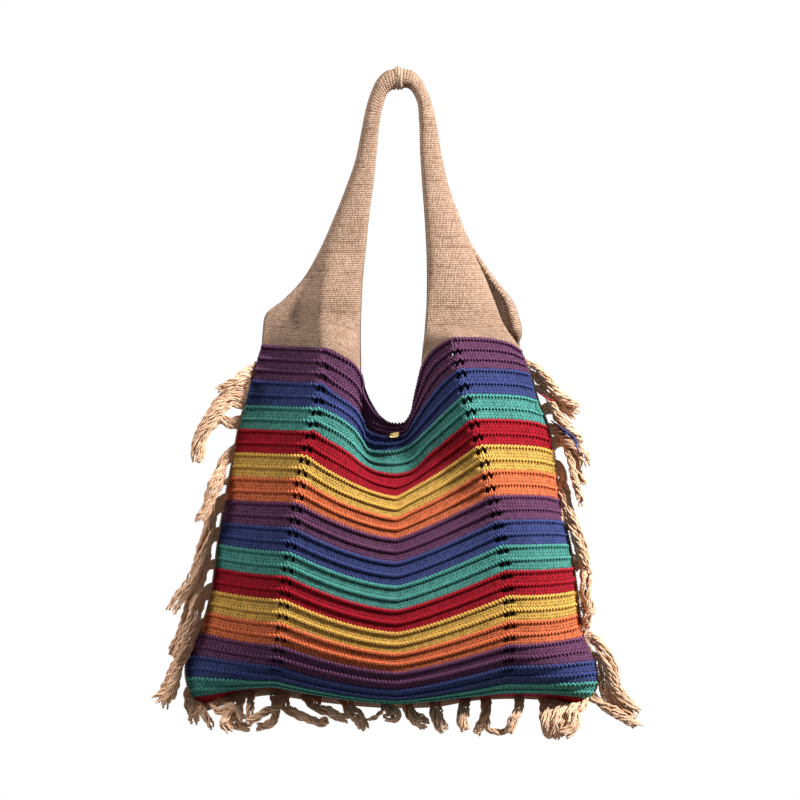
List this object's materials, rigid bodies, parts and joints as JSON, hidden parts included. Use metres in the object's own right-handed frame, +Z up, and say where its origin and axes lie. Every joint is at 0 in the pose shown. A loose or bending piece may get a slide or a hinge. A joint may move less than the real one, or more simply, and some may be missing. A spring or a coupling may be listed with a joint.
{
  "type": "tote bag",
  "caption": "Knitted shoulder tote in rainbow chevron stripes, with a tan strap, yarn fringe along its seams and a magnetic snap at the mouth.",
  "frame": {"origin": "underside of the strap's binding at its top, where a hook or a shoulder holds the bag", "axes": "+Z up, the front panel faces -Y, +X to the right of someone looking at the front"},
  "size_m": [0.4958, 0.131, 0.662],
  "materials": {
    "striped_knit": "matte",
    "tan_knit": "matte",
    "tan_yarn": "matte",
    "brass": "polished",
    "magnet": "satin"
  },
  "bodies": {
    "root": {"back_left_strap": "tan_knit", "back_panel": "striped_knit", "back_right_strap": "tan_knit", "back_snap_rivet": "brass", "back_snap_socket": "brass", "fringe_tape": "tan_yarn", "front_left_strap": "tan_knit", "front_panel": "striped_knit", "front_right_strap": "tan_knit", "front_snap_rivet": "brass", "front_snap_stud": "brass", "snap_magnet": "magnet", "strap_binding": "tan_knit", "tassel_bottom_01": "tan_yarn", "tassel_bottom_02": "tan_yarn", "tassel_bottom_03": "tan_yarn", "tassel_bottom_04": "tan_yarn", "tassel_bottom_05": "tan_yarn", "tassel_bottom_06": "tan_yarn", "tassel_bottom_07": "tan_yarn", "tassel_bottom_08": "tan_yarn", "tassel_bottom_09": "tan_yarn", "tassel_bottom_10": "tan_yarn", "tassel_bottom_11": "tan_yarn", "tassel_bottom_12": "tan_yarn", "tassel_bottom_13": "tan_yarn", "tassel_bottom_14": "tan_yarn", "tassel_left_01": "tan_yarn", "tassel_left_02": "tan_yarn", "tassel_left_03": "tan_yarn", "tassel_left_04": "tan_yarn", "tassel_left_05": "tan_yarn", "tassel_left_06": "tan_yarn", "tassel_left_07": "tan_yarn", "tassel_left_08": "tan_yarn", "tassel_left_09": "tan_yarn", "tassel_left_10": "tan_yarn", "tassel_left_11": "tan_yarn", "tassel_left_12": "tan_yarn", "tassel_left_13": "tan_yarn", "tassel_right_01": "tan_yarn", "tassel_right_02": "tan_yarn", "tassel_right_03": "tan_yarn", "tassel_right_04": "tan_yarn", "tassel_right_05": "tan_yarn", "tassel_right_06": "tan_yarn", "tassel_right_07": "tan_yarn", "tassel_right_08": "tan_yarn", "tassel_right_09": "tan_yarn", "tassel_right_10": "tan_yarn", "tassel_right_11": "tan_yarn", "tassel_right_12": "tan_yarn", "tassel_right_13": "tan_yarn"}
  },
  "joints": []
}
